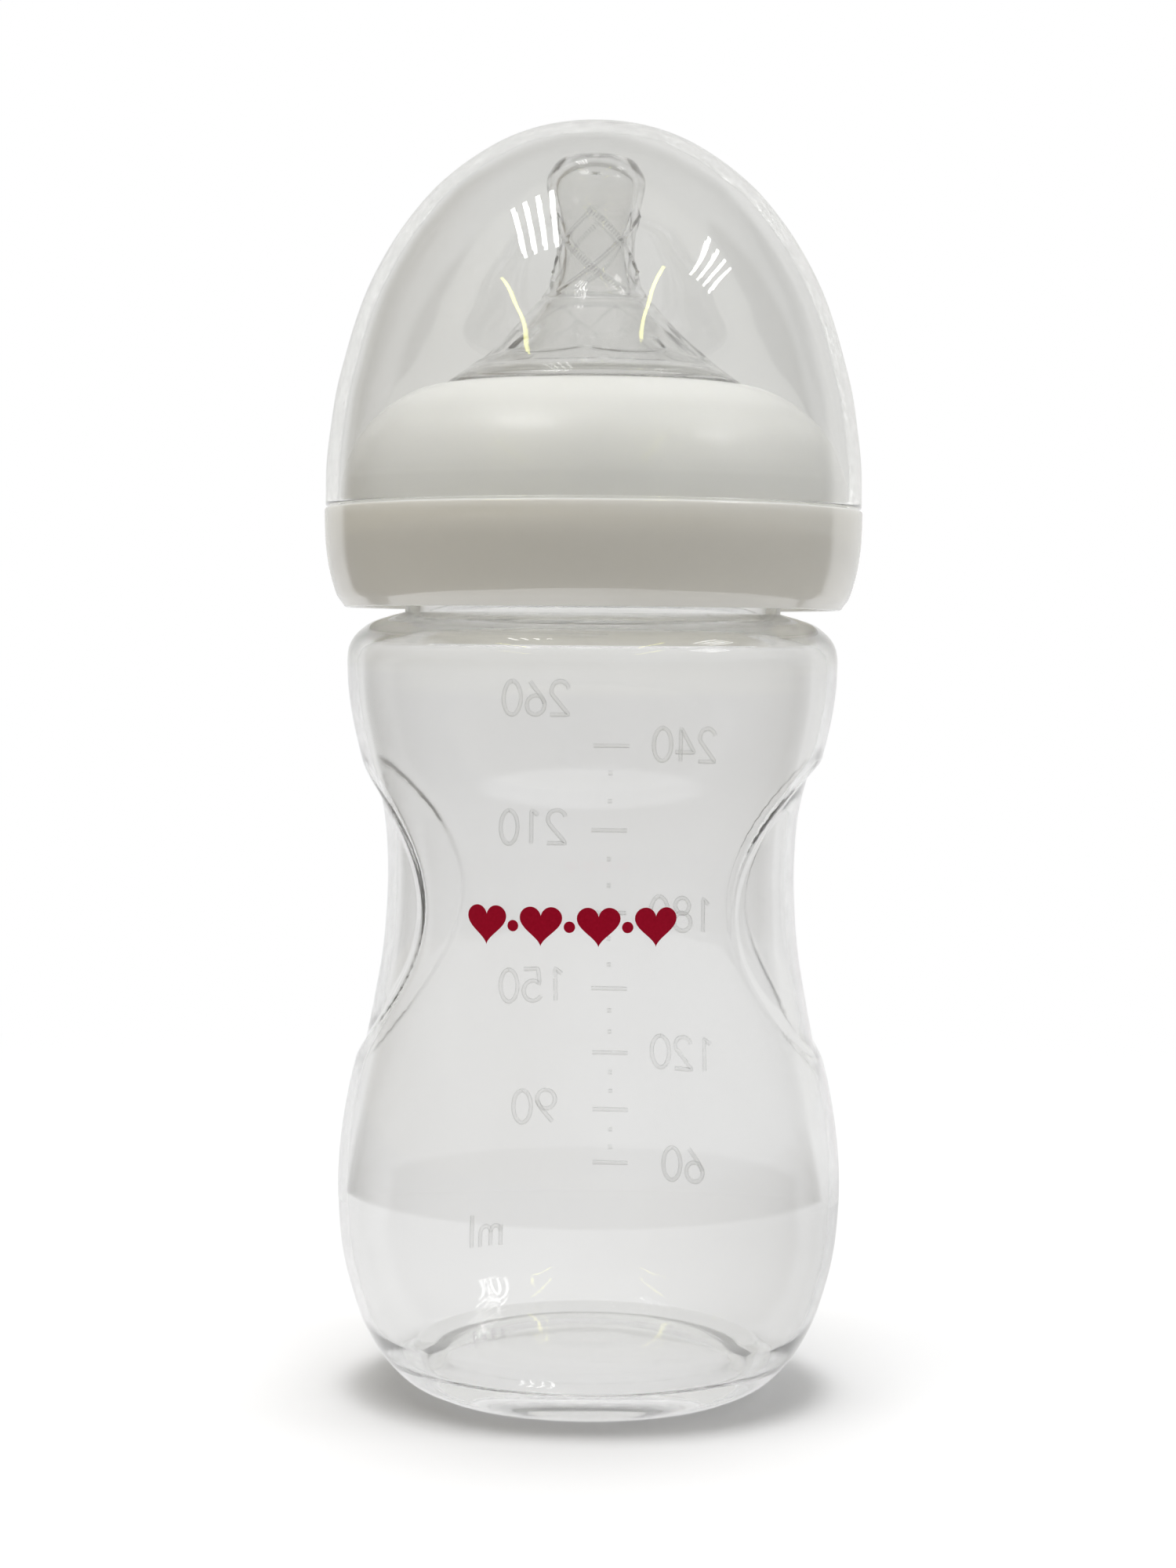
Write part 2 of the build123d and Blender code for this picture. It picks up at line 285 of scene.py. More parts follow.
silicone = clear_plastic("clear_silicone", (0.95, 0.95, 0.95), (0.98, 0.98, 0.975),
                         (0.03, 0.08), 160, 0.00003, 1.34, 0.97, (0.8, 0.8, 0.8))


def shade_painted_on_flanks(mat, tone):
    """Painted shade: the flanks of ribs, petals and creases, marked by the piece's own attribute, are
    coloured darker.
    """
    nt = mat.node_tree
    shader = next(n for n in nt.nodes if n.type == "BSDF_PRINCIPLED")
    base = shader.inputs["Base Color"].links[0].from_socket
    mark = nt.nodes.new("ShaderNodeAttribute")
    mark.attribute_name = "painted_flank_shade"
    mix = nt.nodes.new("ShaderNodeMix")
    mix.data_type = "RGBA"
    nt.links.new(mark.outputs["Fac"], mix.inputs["Factor"])
    nt.links.new(base, mix.inputs["A"])
    mix.inputs["B"].default_value = (*tone, 1)
    nt.links.new(mix.outputs["Result"], shader.inputs["Base Color"])


# Painted shade on the teat's ribs, petal edges and crease.
shade_painted_on_flanks(silicone, (0.40, 0.40, 0.40))


def milky_plastic(name, low, high, coat, coat_rough, coat_ior):
    """A milky wall that light soaks into, under a clear gloss of its own strength."""
    mat, nt, shader = new_material(name)
    cloud = noise(nt, 70, 3.0, 0.5)
    nt.links.new(colours(nt, cloud.outputs["Fac"], low, high), shader.inputs["Base Color"])
    nt.links.new(ramp(nt, cloud.outputs["Fac"], 0.34, 0.42), shader.inputs["Roughness"])
    shader.inputs["IOR"].default_value = 1.5
    shader.inputs["Transmission Weight"].default_value = 0.22
    shader.inputs["Subsurface Weight"].default_value = 0.7
    shader.inputs["Subsurface Radius"].default_value = (1.0, 1.0, 1.0)
    shader.inputs["Subsurface Scale"].default_value = 0.004
    shader.inputs["Coat Weight"].default_value = coat
    shader.inputs["Coat Roughness"].default_value = coat_rough
    shader.inputs["Coat IOR"].default_value = coat_ior
    let_lamps_through(nt, shader, (0.9, 0.9, 0.89))
    return mat


# Lit and shaded copies of one milky plastic. The skirt's warm, brownish tone is a painted reflection of the
# brown room in front. The crown's darker grey is painted shade that holds down the overhead light on the
# top.
skirt_plastic_painted_reflection = milky_plastic("milky_polypropylene_skirt_painted_reflection", (0.865, 0.842, 0.782), (0.885, 0.862, 0.802),
                              1.0, 0.03, 2.2)
crown_plastic_painted_shade = milky_plastic("milky_polypropylene_crown_painted_shade", (0.815, 0.815, 0.8), (0.835, 0.835, 0.822),
                              0.5, 0.08, 1.35)


def ink():
    """Matt crimson print with a fine grain."""
    mat, nt, shader = new_material("crimson_ink")
    speck = noise(nt, 3000, 3.0, 0.6)
    nt.links.new(colours(nt, speck.outputs["Fac"], (0.36, 0.0, 0.018), (0.43, 0.001, 0.024)),
                 shader.inputs["Base Color"])
    nt.links.new(ramp(nt, speck.outputs["Fac"], 0.3, 0.45), shader.inputs["Roughness"])
    shader.inputs["Specular IOR Level"].default_value = 0.15
    bump(nt, shader, speck.outputs["Fac"], 0.4, 0.00001)
    return mat


print_ink = ink()

# ---------------------------------------------------------------- the container
WALL = 1.3
SIDE = [(22.6, 0.0), (25.6, 1.5), (29.1, 5.2), (31.4, 9.3), (33.0, 13.8), (34.3, 19.2), (34.95, 26.5),
        (34.85, 32.0), (34.35, 36.8), (33.4, 42.2), (32.1, 47.6), (30.6, 54.5), (29.6, 61.5), (29.2, 69.5),
        (29.5, 76.3), (30.3, 81.5), (31.95, 87.7), (33.2, 93.2), (33.8, 97.5), (33.95, 101.0)]
SHOULDER = [(33.95, 101.0), (33.75, 102.7), (33.0, 104.2), (31.9, 105.3), (30.6, 106.2), (28.6, 106.9),
            (26.0, 107.6)]
PAD = [(31.3, 47.6), (29.95, 54.5), (28.8, 61.5), (28.25, 69.5), (28.3, 75.0), (28.85, 80.6), (30.6, 87.7)]
NECK_START = 102.5                   # the neck's clearer plastic begins here
NECK_R, MOUTH_R = 26.0, 24.1
GRIP_Z = 66.6
GRIP_OUT, GRIP_IN = 21.4, 18.2
SCALE_U = 11.7

side = smooth(SIDE, 0.4)
pad = smooth(PAD, 0.5)


def side_radius(z):
    return np.interp(z, side[:, 1], side[:, 0])


def grip_radius(r0, z, turns, gentle=0.0):
    """Radius round the body at one height with the two round finger recesses let in."""
    y = r0 * np.sin(turns)
    rho = np.sqrt(y * y + (z - GRIP_Z) ** 2)
    rho = np.where(np.abs(np.cos(turns)) * r0 < 8, 99.0, rho)
    floor = np.interp(z, pad[:, 1], pad[:, 0])
    depth = np.maximum(r0 - floor, 0)
    return r0 - depth * step01((GRIP_OUT + gentle / 2 - rho) / (GRIP_OUT - GRIP_IN + gentle))


# Numbers of the scale as pen strokes in a box 0.62 wide and 1 high.
def arc(cx, cy, rx, ry, a0, a1, n=14):
    t = np.radians(np.linspace(a0, a1, n))
    return list(zip(cx + rx * np.cos(t), cy + ry * np.sin(t)))


DIGITS = {
    "0": [arc(0.31, 0.5, 0.25, 0.44, 90, 450, 28)],
    "1": [[(0.16, 0.80), (0.34, 0.94), (0.34, 0.06)]],
    "2": [arc(0.31, 0.70, 0.24, 0.24, 165, -25) + [(0.06, 0.06), (0.57, 0.06)]],
    "4": [[(0.45, 0.06), (0.45, 0.94), (0.04, 0.30), (0.60, 0.30)]],
    "5": [[(0.54, 0.94), (0.14, 0.94), (0.10, 0.52)] + arc(0.30, 0.34, 0.26, 0.28, 130, -150)],
    "6": [arc(0.31, 0.32, 0.25, 0.26, 0, 360, 24), [(0.48, 0.93), (0.16, 0.55), (0.07, 0.36)]],
    "8": [arc(0.31, 0.72, 0.21, 0.21, 0, 360, 22), arc(0.31, 0.29, 0.25, 0.24, 0, 360, 24)],
    "9": [arc(0.31, 0.68, 0.25, 0.26, 0, 360, 24), [(0.14, 0.07), (0.46, 0.45), (0.55, 0.64)]],
    "m": [[(0.0, 0.06), (0.0, 0.62)], arc(0.17, 0.44, 0.17, 0.18, 180, 0, 9) + [(0.34, 0.06)],
          arc(0.51, 0.44, 0.17, 0.18, 180, 0, 9) + [(0.68, 0.06)]],
    "l": [[(0.06, 0.06), (0.06, 0.96)]],
}
NUMBERS = [("260", 95.2, 1), ("240", 88.5, -1), ("210", 76.2, 1), ("180", 63.6, -1), ("150", 52.5, 1),
           ("120", 42.4, -1), ("90", 33.6, 1), ("60", 25.2, -1)]
TICKS = [88.2, 75.7, 63.4, 51.9, 41.9, 33.0, 24.9]
DOTS = [84.2, 80.1, 71.4, 67.5, 59.5, 55.6, 48.5, 45.2, 38.9, 35.9, 30.0, 27.3]
NUMBER_H = 5.6
NUMBER_STEP = 3.75                   # from one digit to the next
UNIT_U, UNIT_Z, UNIT_H = 19.0, 15.4, 5.0


def scale_strokes():
    """Every stroke of the moulded scale as a line of (along, height) points, laid out flat."""
    strokes = []
    for text, z, way in NUMBERS:
        width = NUMBER_STEP * len(text) - 0.4
        u = way * SCALE_U - width / 2
        for ch in text:
            for line in DIGITS[ch]:
                strokes.append([(u + NUMBER_H * x, z + NUMBER_H * (y - 0.5)) for x, y in line])
            u += NUMBER_STEP
    for dx, ch in ((-2.2, "m"), (2.4, "l")):
        for line in DIGITS[ch]:
            strokes.append([(UNIT_U + dx + UNIT_H * x, UNIT_Z + UNIT_H * (y - 0.5)) for x, y in line])
    for z in TICKS:
        strokes.append([(-2.7, z), (2.7, z)])
    for z in DOTS:
        strokes.append([(-0.3, z), (0.3, z)])
    return strokes


def container():
    """Raised base, side, shoulder and neck outside, and the same way back inside, as one closed wall."""
    spans = [(-50, 50, 92), (50, 130, 52), (130, 230, 92), (230, 310, 52)]
    turns = np.concatenate([np.radians(np.linspace(a, b, n, endpoint=False)) for a, b, n in spans])
    punt = smooth([(0.0, 3.6), (8.0, 3.55), (14.0, 3.1), (18.6, 1.7), (21.0, 0.15)], 1.4)[:-1]
    foot = [(21.0, 0.15), (21.3, 0.0), (22.6, 0.0)]
    low = side[(side[:, 1] > 0.2) & (side[:, 1] < 12)][::2]
    rows_z = np.concatenate([np.arange(12, 44, 1.0), np.arange(44, 90, 0.5), np.arange(90, 101, 0.8)])
    middle = np.stack([side_radius(rows_z), rows_z], 1)
    shoulder = smooth(SHOULDER, 0.7)
    neck = rounded([(NECK_R, 107.6), (NECK_R, NECK_TOP), (MOUTH_R, NECK_TOP), (MOUTH_R, 106.4)],
                   [0, 0.5, 0.5, 0], 4)
    neck_out = neck[:5]
    neck_in = neck[5:]
    straight = [(NECK_R, z) for z in (110.0, 113.0, 116.0, 119.0, 121.5)]
    outer = np.vstack([punt, foot, low, middle, shoulder, straight, neck_out[1:]])
    in_side = [(r - WALL, z) for r, z in side if z > 8]
    in_rows = np.array(in_side[::-1])
    keep = [0]
    for i in range(1, len(in_rows)):
        if np.linalg.norm(in_rows[i] - in_rows[keep[-1]]) > 1.25:
            keep.append(i)
    in_rows = in_rows[keep]
    in_shoulder = smooth([(MOUTH_R, 106.4), (27.4, 105.5), (29.6, 104.7), (31.2, 103.7), (32.2, 102.6),
                          (32.6, 101.2)], 1.0)
    in_floor = smooth([tuple(in_rows[-1]), (27.75, 5.9), (27.0, 5.1), (26.2, 4.65), (25.4, 4.75),
                       (24.7, 5.3), (23.9, 6.0), (22.7, 6.5), (21.0, 6.7), (16.0, 6.95), (8.0, 7.2),
                       (0.0, 7.3)], 0.6)
    in_neck = [(MOUTH_R, z) for z in (121, 117, 113, 109.5)]
    inner = np.vstack([neck_in[:-1], in_neck, in_shoulder[:-1], in_rows, in_floor[1:]])
    rows = np.vstack([outer, inner])
    rows[0, 0] = rows[-1, 0] = 0.0
    n_outer = len(outer)

    def radius_at(i, r, z, t):
        if i < n_outer:
            if 12 <= z < 98.4 and i > len(punt) + 3:
                return grip_radius(r, z, t)
            return np.full(len(t), r)
        if 40 < z < 92:
            return grip_radius(r + WALL, z, t, 1.6) - WALL
        return np.full(len(t), r)

    return turned("container", rows, turns, bottle_plastic, radius_at)


bottle = container()
bottle.data.materials.append(neck_plastic)
for face in bottle.data.polygons:
    face.material_index = 1 if face.center.z > NECK_START * MM else 0
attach(bottle, "container")
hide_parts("bottle")


# ---------------------------------------------------------------- Geometry Nodes
def geometry_tree(name, sizes):
    """A tree with named number inputs; returns the tree and its group input and output."""
    tree = bpy.data.node_groups.new(name, "GeometryNodeTree")
    tree.interface.new_socket("Geometry", in_out="INPUT", socket_type="NodeSocketGeometry")
    for label, kind in sizes:
        tree.interface.new_socket(label, in_out="INPUT", socket_type=kind)
    tree.interface.new_socket("Geometry", in_out="OUTPUT", socket_type="NodeSocketGeometry")
    return tree, tree.nodes.new("NodeGroupInput"), tree.nodes.new("NodeGroupOutput")


def bake_tree(name, tree, values, material, lines=()):
    """Evaluates a tree once, on the lines if it starts from some, and returns a plain mesh object."""
    seed = bpy.data.meshes.new(name + "_seed")
    points = [(x * MM, y * MM, 0.0) for line in lines for x, y in line]
    joins, start = [], 0
    for line in lines:
        joins += [(start + k, start + k + 1) for k in range(len(line) - 1)]
        start += len(line)
    seed.from_pydata(points, joins, [])
    obj = bpy.data.objects.new(name, seed)
    bpy.context.scene.collection.objects.link(obj)
    mod = obj.modifiers.new("shape", "NODES")
    mod.node_group = tree
    for item in tree.interface.items_tree:
        if item.in_out == "INPUT" and item.name in values:
            mod[item.identifier] = values[item.name]
    dg = bpy.context.evaluated_depsgraph_get()
    mesh = bpy.data.meshes.new_from_object(obj.evaluated_get(dg))
    obj.modifiers.clear()
    obj.data = mesh
    mesh.name = name
    bm = bmesh.new()
    bm.from_mesh(mesh)
    bmesh.ops.remove_doubles(bm, verts=bm.verts, dist=1e-7)
    bmesh.ops.recalc_face_normals(bm, faces=bm.faces)
    bm.to_mesh(mesh)
    bm.free()
    if not mesh.materials:
        mesh.materials.append(material)
    return obj


def painted(tree, geometry, material, out):
    """Closes a tree: instances made real, then its material."""
    whole = tree.nodes.new("GeometryNodeRealizeInstances")
    paint = tree.nodes.new("GeometryNodeSetMaterial")
    paint.inputs["Material"].default_value = material
    tree.links.new(geometry, whole.inputs["Geometry"])
    tree.links.new(whole.outputs["Geometry"], paint.inputs["Geometry"])
    tree.links.new(paint.outputs["Geometry"], out.inputs["Geometry"])
    return tree


def thread_tree(material):
    """A thread: a rounded trapezium carried along a rising spiral."""
    tree, inp, out = geometry_tree("screw_thread", [
        ("Radius", "NodeSocketFloat"), ("Pitch", "NodeSocketFloat"), ("Turns", "NodeSocketFloat"),
        ("Start", "NodeSocketFloat"), ("Angle", "NodeSocketFloat"), ("Depth", "NodeSocketFloat"),
        ("Root", "NodeSocketFloat"), ("Crest", "NodeSocketFloat")])
    nodes, links = tree.nodes, tree.links
    line = nodes.new("GeometryNodeCurvePrimitiveLine")
    fine = nodes.new("GeometryNodeResampleCurve")
    fine.inputs["Count"].default_value = 150
    links.new(line.outputs["Curve"], fine.inputs["Curve"])
    along = nodes.new("GeometryNodeSplineParameter")
    place = nodes.new("GeometryNodeSetPosition")

    def calc(op, a, b=0.0):
        return calculated(tree, op, a, b)

    t = along.outputs["Factor"]
    turn = calc("ADD", calc("MULTIPLY", calc("MULTIPLY", t, inp.outputs["Turns"]), 2 * math.pi),
                inp.outputs["Angle"])
    rise = calc("MULTIPLY", calc("MULTIPLY", t, inp.outputs["Turns"]), inp.outputs["Pitch"])
    spiral = combined(tree, calc("MULTIPLY", calc("COSINE", turn), inp.outputs["Radius"]),
                      calc("MULTIPLY", calc("SINE", turn), inp.outputs["Radius"]),
                      calc("ADD", rise, inp.outputs["Start"]))
    links.new(fine.outputs["Curve"], place.inputs["Geometry"])
    links.new(spiral, place.inputs["Position"])
    upright = nodes.new("GeometryNodeSetCurveNormal")
    upright.mode = "Z_UP"
    links.new(place.outputs["Geometry"], upright.inputs["Curve"])
    quad = nodes.new("GeometryNodeCurvePrimitiveQuadrilateral")
    quad.mode = "TRAPEZOID"
    links.new(inp.outputs["Root"], quad.inputs["Bottom Width"])
    links.new(inp.outputs["Crest"], quad.inputs["Top Width"])
    links.new(inp.outputs["Depth"], quad.inputs["Height"])
    quad.inputs["Offset"].default_value = 0
    edge = nodes.new("GeometryNodeFilletCurve")
    edge.mode = "POLY"
    edge.inputs["Count"].default_value = 3
    edge.inputs["Radius"].default_value = 0.25 * MM
    links.new(quad.outputs["Curve"], edge.inputs["Curve"])
    sweep = nodes.new("GeometryNodeCurveToMesh")
    sweep.inputs["Fill Caps"].default_value = True
    links.new(upright.outputs["Curve"], sweep.inputs["Curve"])
    links.new(edge.outputs["Curve"], sweep.inputs["Profile Curve"])
    gentle = nodes.new("GeometryNodeSetShadeSmooth")
    links.new(sweep.outputs["Mesh"], gentle.inputs["Geometry"])
    return painted(tree, gentle.outputs["Geometry"], material, out)


PITCH = 6.0
neck_thread = bake_tree("neck_thread", thread_tree(neck_plastic), {
    "Radius": 26.75 * MM, "Pitch": PITCH * MM, "Turns": 1.4, "Start": 113.0 * MM, "Angle": math.pi / 2,
    "Depth": 1.7 * MM, "Root": 2.4 * MM, "Crest": 1.1 * MM}, neck_plastic)
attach(neck_thread, "container")


def scale_tree(material):
    """Half-round moulded strokes: the flat lines get a bead's section and are laid on the bottle's back."""
    tree, inp, out = geometry_tree("moulded_scale", [
        ("Bottle", "NodeSocketObject"), ("Half Width", "NodeSocketFloat"), ("Rise", "NodeSocketFloat"),
        ("Sunk", "NodeSocketFloat"), ("Reach", "NodeSocketFloat")])
    nodes, links = tree.nodes, tree.links

    def calc(op, a, b=0.0):
        return calculated(tree, op, a, b)

    line = nodes.new("GeometryNodeMeshToCurve")
    links.new(inp.outputs["Geometry"], line.inputs["Mesh"])
    even = nodes.new("GeometryNodeResampleCurve")
    even.mode = "LENGTH"
    even.inputs["Length"].default_value = 0.3 * MM
    links.new(line.outputs["Curve"], even.inputs["Curve"])
    level = nodes.new("GeometryNodeSetCurveNormal")
    level.mode = "Z_UP"
    links.new(even.outputs["Curve"], level.inputs["Curve"])
    section = nodes.new("GeometryNodeCurvePrimitiveCircle")
    section.inputs["Resolution"].default_value = 14
    links.new(inp.outputs["Half Width"], section.inputs["Radius"])
    bead = nodes.new("GeometryNodeCurveToMesh")
    bead.inputs["Fill Caps"].default_value = True
    links.new(level.outputs["Curve"], bead.inputs["Curve"])
    links.new(section.outputs["Curve"], bead.inputs["Profile Curve"])
    flat = nodes.new("ShaderNodeSeparateXYZ")
    links.new(nodes.new("GeometryNodeInputPosition").outputs["Position"], flat.inputs["Vector"])
    squeeze = calc("DIVIDE", inp.outputs["Rise"], inp.outputs["Half Width"])
    height = calc("MULTIPLY", flat.outputs["Z"], squeeze)
    height = calc("MAXIMUM", height, calc("MULTIPLY", inp.outputs["Sunk"], -1.0))
    probe = nodes.new("GeometryNodeRaycast")
    body = nodes.new("GeometryNodeObjectInfo")
    links.new(inp.outputs["Bottle"], body.inputs["Object"])
    links.new(body.outputs["Geometry"], probe.inputs["Target Geometry"])
    links.new(combined(tree, 0.0, inp.outputs["Reach"], flat.outputs["Y"]), probe.inputs["Source Position"])
    probe.inputs["Ray Direction"].default_value = (0.0, -1.0, 0.0)
    surface = nodes.new("ShaderNodeSeparateXYZ")
    links.new(probe.outputs["Hit Position"], surface.inputs["Vector"])
    angle = calc("DIVIDE", flat.outputs["X"], surface.outputs["Y"])
    radius = calc("ADD", surface.outputs["Y"], height)
    place = nodes.new("GeometryNodeSetPosition")
    links.new(bead.outputs["Mesh"], place.inputs["Geometry"])
    wrapped = combined(tree, calc("MULTIPLY", calc("MULTIPLY", calc("SINE", angle), radius), -1.0),
                       calc("MULTIPLY", calc("COSINE", angle), radius), flat.outputs["Y"])
    links.new(wrapped, place.inputs["Position"])
    return painted(tree, place.outputs["Geometry"], material, out)


scale_marks = bake_tree("moulded_scale", scale_tree(mark_plastic_painted_shade), {
    "Bottle": bottle, "Half Width": 0.3 * MM, "Rise": 0.22 * MM, "Sunk": 0.02 * MM, "Reach": 60 * MM},
    mark_plastic_painted_shade, scale_strokes())
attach(scale_marks, "container")


# ---------------------------------------------------------------- the screw ring
SKIRT_R, SKIRT_TOP = 33.2, 121.7     # outside this radius and below this height lies the skirt


def screw_ring():
    """Skirt, ledge, crown and lip as one closed outline."""
    skirt = smooth([(34.75, 108.9), (35.35, 109.7), (35.8, 110.9), (36.45, 113.3), (36.95, 116.6),
                    (37.12, 119.6)], 0.8)
    crown = smooth([(34.9, 125.2), (34.2, 127.6), (32.6, 131.2), (30.2, 134.1), (27.0, 136.6),
                    (24.2, 138.0), (22.6, 138.4)], 0.6)
    under = smooth([(22.6, 136.7), (25.4, 136.0), (28.0, 134.4), (29.5, 133.0), (31.4, 130.6),
                    (32.9, 127.6), (33.5, 124.6)], 0.8)
    inside = smooth([(35.6, 118.2), (35.45, 116.4), (34.9, 113.2), (34.1, 110.4), (33.6, 109.0)], 0.8)
    lower = rounded([tuple(inside[-1]), (33.45, RING_LOW), (34.3, RING_LOW), tuple(skirt[0])],
                    [0, 0.3, 0.4, 0], 4)
    ledge = rounded([tuple(skirt[-1]), (37.15, 121.8), (35.0, 121.8), tuple(crown[0])],
                    [0, 0.35, 0.25, 0], 4)
    lip = rounded([tuple(crown[-1]), (19.5, 138.4), (19.5, 136.7), tuple(under[0])], [0, 0.6, 0.3, 0], 4)
    step = rounded([tuple(under[-1]), (33.5, 120.3), tuple(inside[0])], 0.6, 4)
    return np.vstack([lower[1:-1], skirt[:-1], ledge[:-1], crown[:-1], lip[:-1], under[:-1], step[:-1],
                      inside[:-1]])


ring = turned("screw_ring_shell", screw_ring(), even_turns(192), skirt_plastic_painted_reflection, closed=True)
ring.data.materials.append(crown_plastic_painted_shade)
# The skirt gets the warm painted reflection; the crown, lip and underside get the darker painted shade.
for face in ring.data.polygons:
    r, z = math.hypot(face.center.x, face.center.y) / MM, face.center.z / MM
    face.material_index = 0 if r > SKIRT_R and z < SKIRT_TOP else 1
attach(ring, "ring")
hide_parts("screw_ring")

# The threaded sleeve and its clamping plate hang from the crown. The clear shoulder shows the room
# beyond them, so they are left out of the rays that have passed through a clear wall.
SLEEVE_IN, SLEEVE_OUT, PLATE_R = 28.0, 29.5, 24.6
sleeve_rows = rounded([(SLEEVE_OUT, 133.6), (SLEEVE_IN, 135.0), (SLEEVE_IN, 128.0), (PLATE_R, 128.0),
                       (PLATE_R, 126.4), (SLEEVE_IN, 126.4), (SLEEVE_IN, 120.0), (SLEEVE_IN, 114.0),
                       (SLEEVE_IN, 109.0), (SLEEVE_OUT, 109.0), (SLEEVE_OUT, 121.0), (SLEEVE_OUT, 133.4)],
                      [0, 0, 0.3, 0.3, 0.3, 0.3, 0, 0, 0.3, 0.3, 0, 0], 4)
sleeve = turned("ring_sleeve", sleeve_rows, even_turns(160), crown_plastic_painted_shade, closed=True)
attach(sleeve, "ring")
sleeve.visible_transmission = False

ring_thread = bake_tree("ring_thread", thread_tree(crown_plastic_painted_shade), {
    "Radius": 27.25 * MM, "Pitch": PITCH * MM, "Turns": 1.4, "Start": 110.9 * MM, "Angle": math.pi / 2,
    "Depth": 1.7 * MM, "Root": 1.1 * MM, "Crest": 2.4 * MM}, crown_plastic_painted_shade)
ring_thread.visible_transmission = False
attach(ring_thread, "ring")


# ---------------------------------------------------------------- the teat
PETALS = 8
RIBS, RIB_RISE = 4, 7.4


def teat():
    """Flange, drum, groove, bead, petalled cone and ribbed nipple."""
    cone = smooth([(20.3, 139.3), (18.9, 140.3), (17.2, 141.5), (14.9, 143.4), (12.5, 145.4), (10.1, 148.0),
                   (8.0, 150.4), (6.5, 152.4), (5.6, 155.0), (5.45, 158.0), (5.75, 161.0), (6.4, 164.0),
                   (6.85, 166.2), (6.7, 168.0), (5.7, 169.5), (3.6, 170.35), (0.5, TEAT_TOP)], 0.3)
    inner = smooth([(0.5, 169.1), (3.4, 168.9), (4.9, 167.8), (5.4, 166.0), (5.0, 163.6), (4.35, 161.0),
                    (4.05, 158.0), (4.2, 154.6), (5.2, 151.4), (6.8, 149.2), (8.9, 146.8), (11.4, 144.2),
                    (14.4, 141.6), (16.4, 140.0)], 0.8)
    low = TEAT_LOW
    base = rounded([tuple(inner[-1]), (17.5, 138.7), (17.5, 134.7), (20.9, 134.7), (20.9, low),
                    (27.5, low), (27.5, low + 1.8), (22.6, low + 1.8), (22.6, 136.4), (19.2, 136.4),
                    (19.2, 138.7), (20.4, 138.7), tuple(cone[0])],
                   [0, 0.4, 0.5, 0.5, 0.5, 0.5, 0.5, 0.5, 0.4, 0.3, 0.3, 0.4, 0], 4)
    rows = np.vstack([base[:-1], cone, inner[:-1]])
    first, last = len(base) - 1, len(base) - 1 + len(cone)
    painted_flank_shades = []

    def radius_at(i, r, z, t):
        rr = np.full(len(t), r)
        zz = np.full(len(t), z)
        painted_flank_shade = np.zeros(len(t))
        if first <= i < last:
            # Petals: scoops with a sharp lower edge that run out upward.
            phase = t * PETALS / (2 * math.pi) % 1.0
            tip = np.abs(phase - 0.5) * 2
            foot = 142.0 + 0.7 * tip ** 2
            head = 148.8 - 3.8 * tip ** 1.5
            inside = (z > foot) & (z < head)
            up = np.clip((z - foot) / (head - foot), 0, 1)
            rr -= 0.8 * inside * step01((z - foot) / 0.45) * (1 - step01(up)) * (1 - tip ** 6)
            # Painted shade along the petals' lower edge and, more faintly, their heads.
            painted_flank_shade += 0.9 * np.exp(-((z - foot - 0.22) / 0.26) ** 2) * (1 - tip ** 6)
            painted_flank_shade += 0.35 * np.exp(-((z - head) / 0.3) ** 2) * (1 - tip ** 2)
            # A crease where the nipple begins, and two crossing sets of spiral ribs above it.
            rr -= 0.28 * math.exp(-((z - 150.6) / 0.35) ** 2)
            # Painted shade along the crease.
            painted_flank_shade += 0.5 * math.exp(-((z - 150.5) / 0.22) ** 2)
            if 151.2 < z < 164:
                fade = step01((z - 151.2) / 0.8) * step01((164 - z) / 3)
                for way in (1, -1):
                    phase = (t * RIBS / (2 * math.pi) + way * (z - 151) / RIB_RISE) % 1.0
                    rise = step01(1 - np.abs(phase - 0.5) / 0.07)
                    rr += 0.26 * fade * rise
                    # Painted shade along both sides of each rib.
                    painted_flank_shade += 0.75 * fade * 4 * rise * (1 - rise)
        painted_flank_shades.append(np.clip(painted_flank_shade, 0, 1))
        return rr, zz

    skin = turned("teat_skin", rows, even_turns(240), silicone, radius_at, closed=True)
    mark = skin.data.attributes.new("painted_flank_shade", "FLOAT", "POINT")
    mark.data.foreach_set("value", np.concatenate(painted_flank_shades).astype(np.float32))
    return skin


nipple = teat()
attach(nipple, "teat")
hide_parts("teat")


# ---------------------------------------------------------------- the dome cap
CAP_WALL = 1.7


def dome_cap():
    """The wall's inside from the top down, the rim, and the outside up again."""
    outside = smooth([(37.0, CAP_LOW + 0.7), (36.9, 127.9), (36.3, 133.2), (35.55, 138.0), (34.4, 142.6),
                      (33.1, 147.1), (31.5, 151.5), (29.6, 155.4), (27.4, 159.1), (25.0, 162.4),
                      (22.4, 165.4), (19.5, 168.0), (16.5, 170.2), (13.3, 172.1), (10.0, 173.5),
                      (6.5, 174.45), (3.2, 174.9), (0.0, DOME_TOP)], 0.9)
    shrunk = []
    for i, (r, z) in enumerate(outside):
        a, b = outside[max(i - 1, 0)], outside[min(i + 1, len(outside) - 1)]
        d = (b - a) / np.linalg.norm(b - a)
        shrunk.append((r - CAP_WALL * d[1], z + CAP_WALL * d[0]))
    inside = np.array(shrunk)
    inside[-1] = (0.0, DOME_TOP - CAP_WALL)
    inside = inside[inside[:, 1] > CAP_LOW + 0.6]
    rim = rounded([tuple(inside[0]), (35.3, CAP_LOW), (37.0, CAP_LOW), tuple(outside[0])],
                  [0, 0.3, 0.3, 0], 4)
    return np.vstack([inside[::-1][:-1], rim[:-1], outside])


cap_rows = dome_cap()
cap_rows[:, 0] = np.maximum(cap_rows[:, 0], 0)
dome = turned("dome_cap_shell", cap_rows, even_turns(224), cap_plastic)
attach(dome, "cap")
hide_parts("dome_cap")


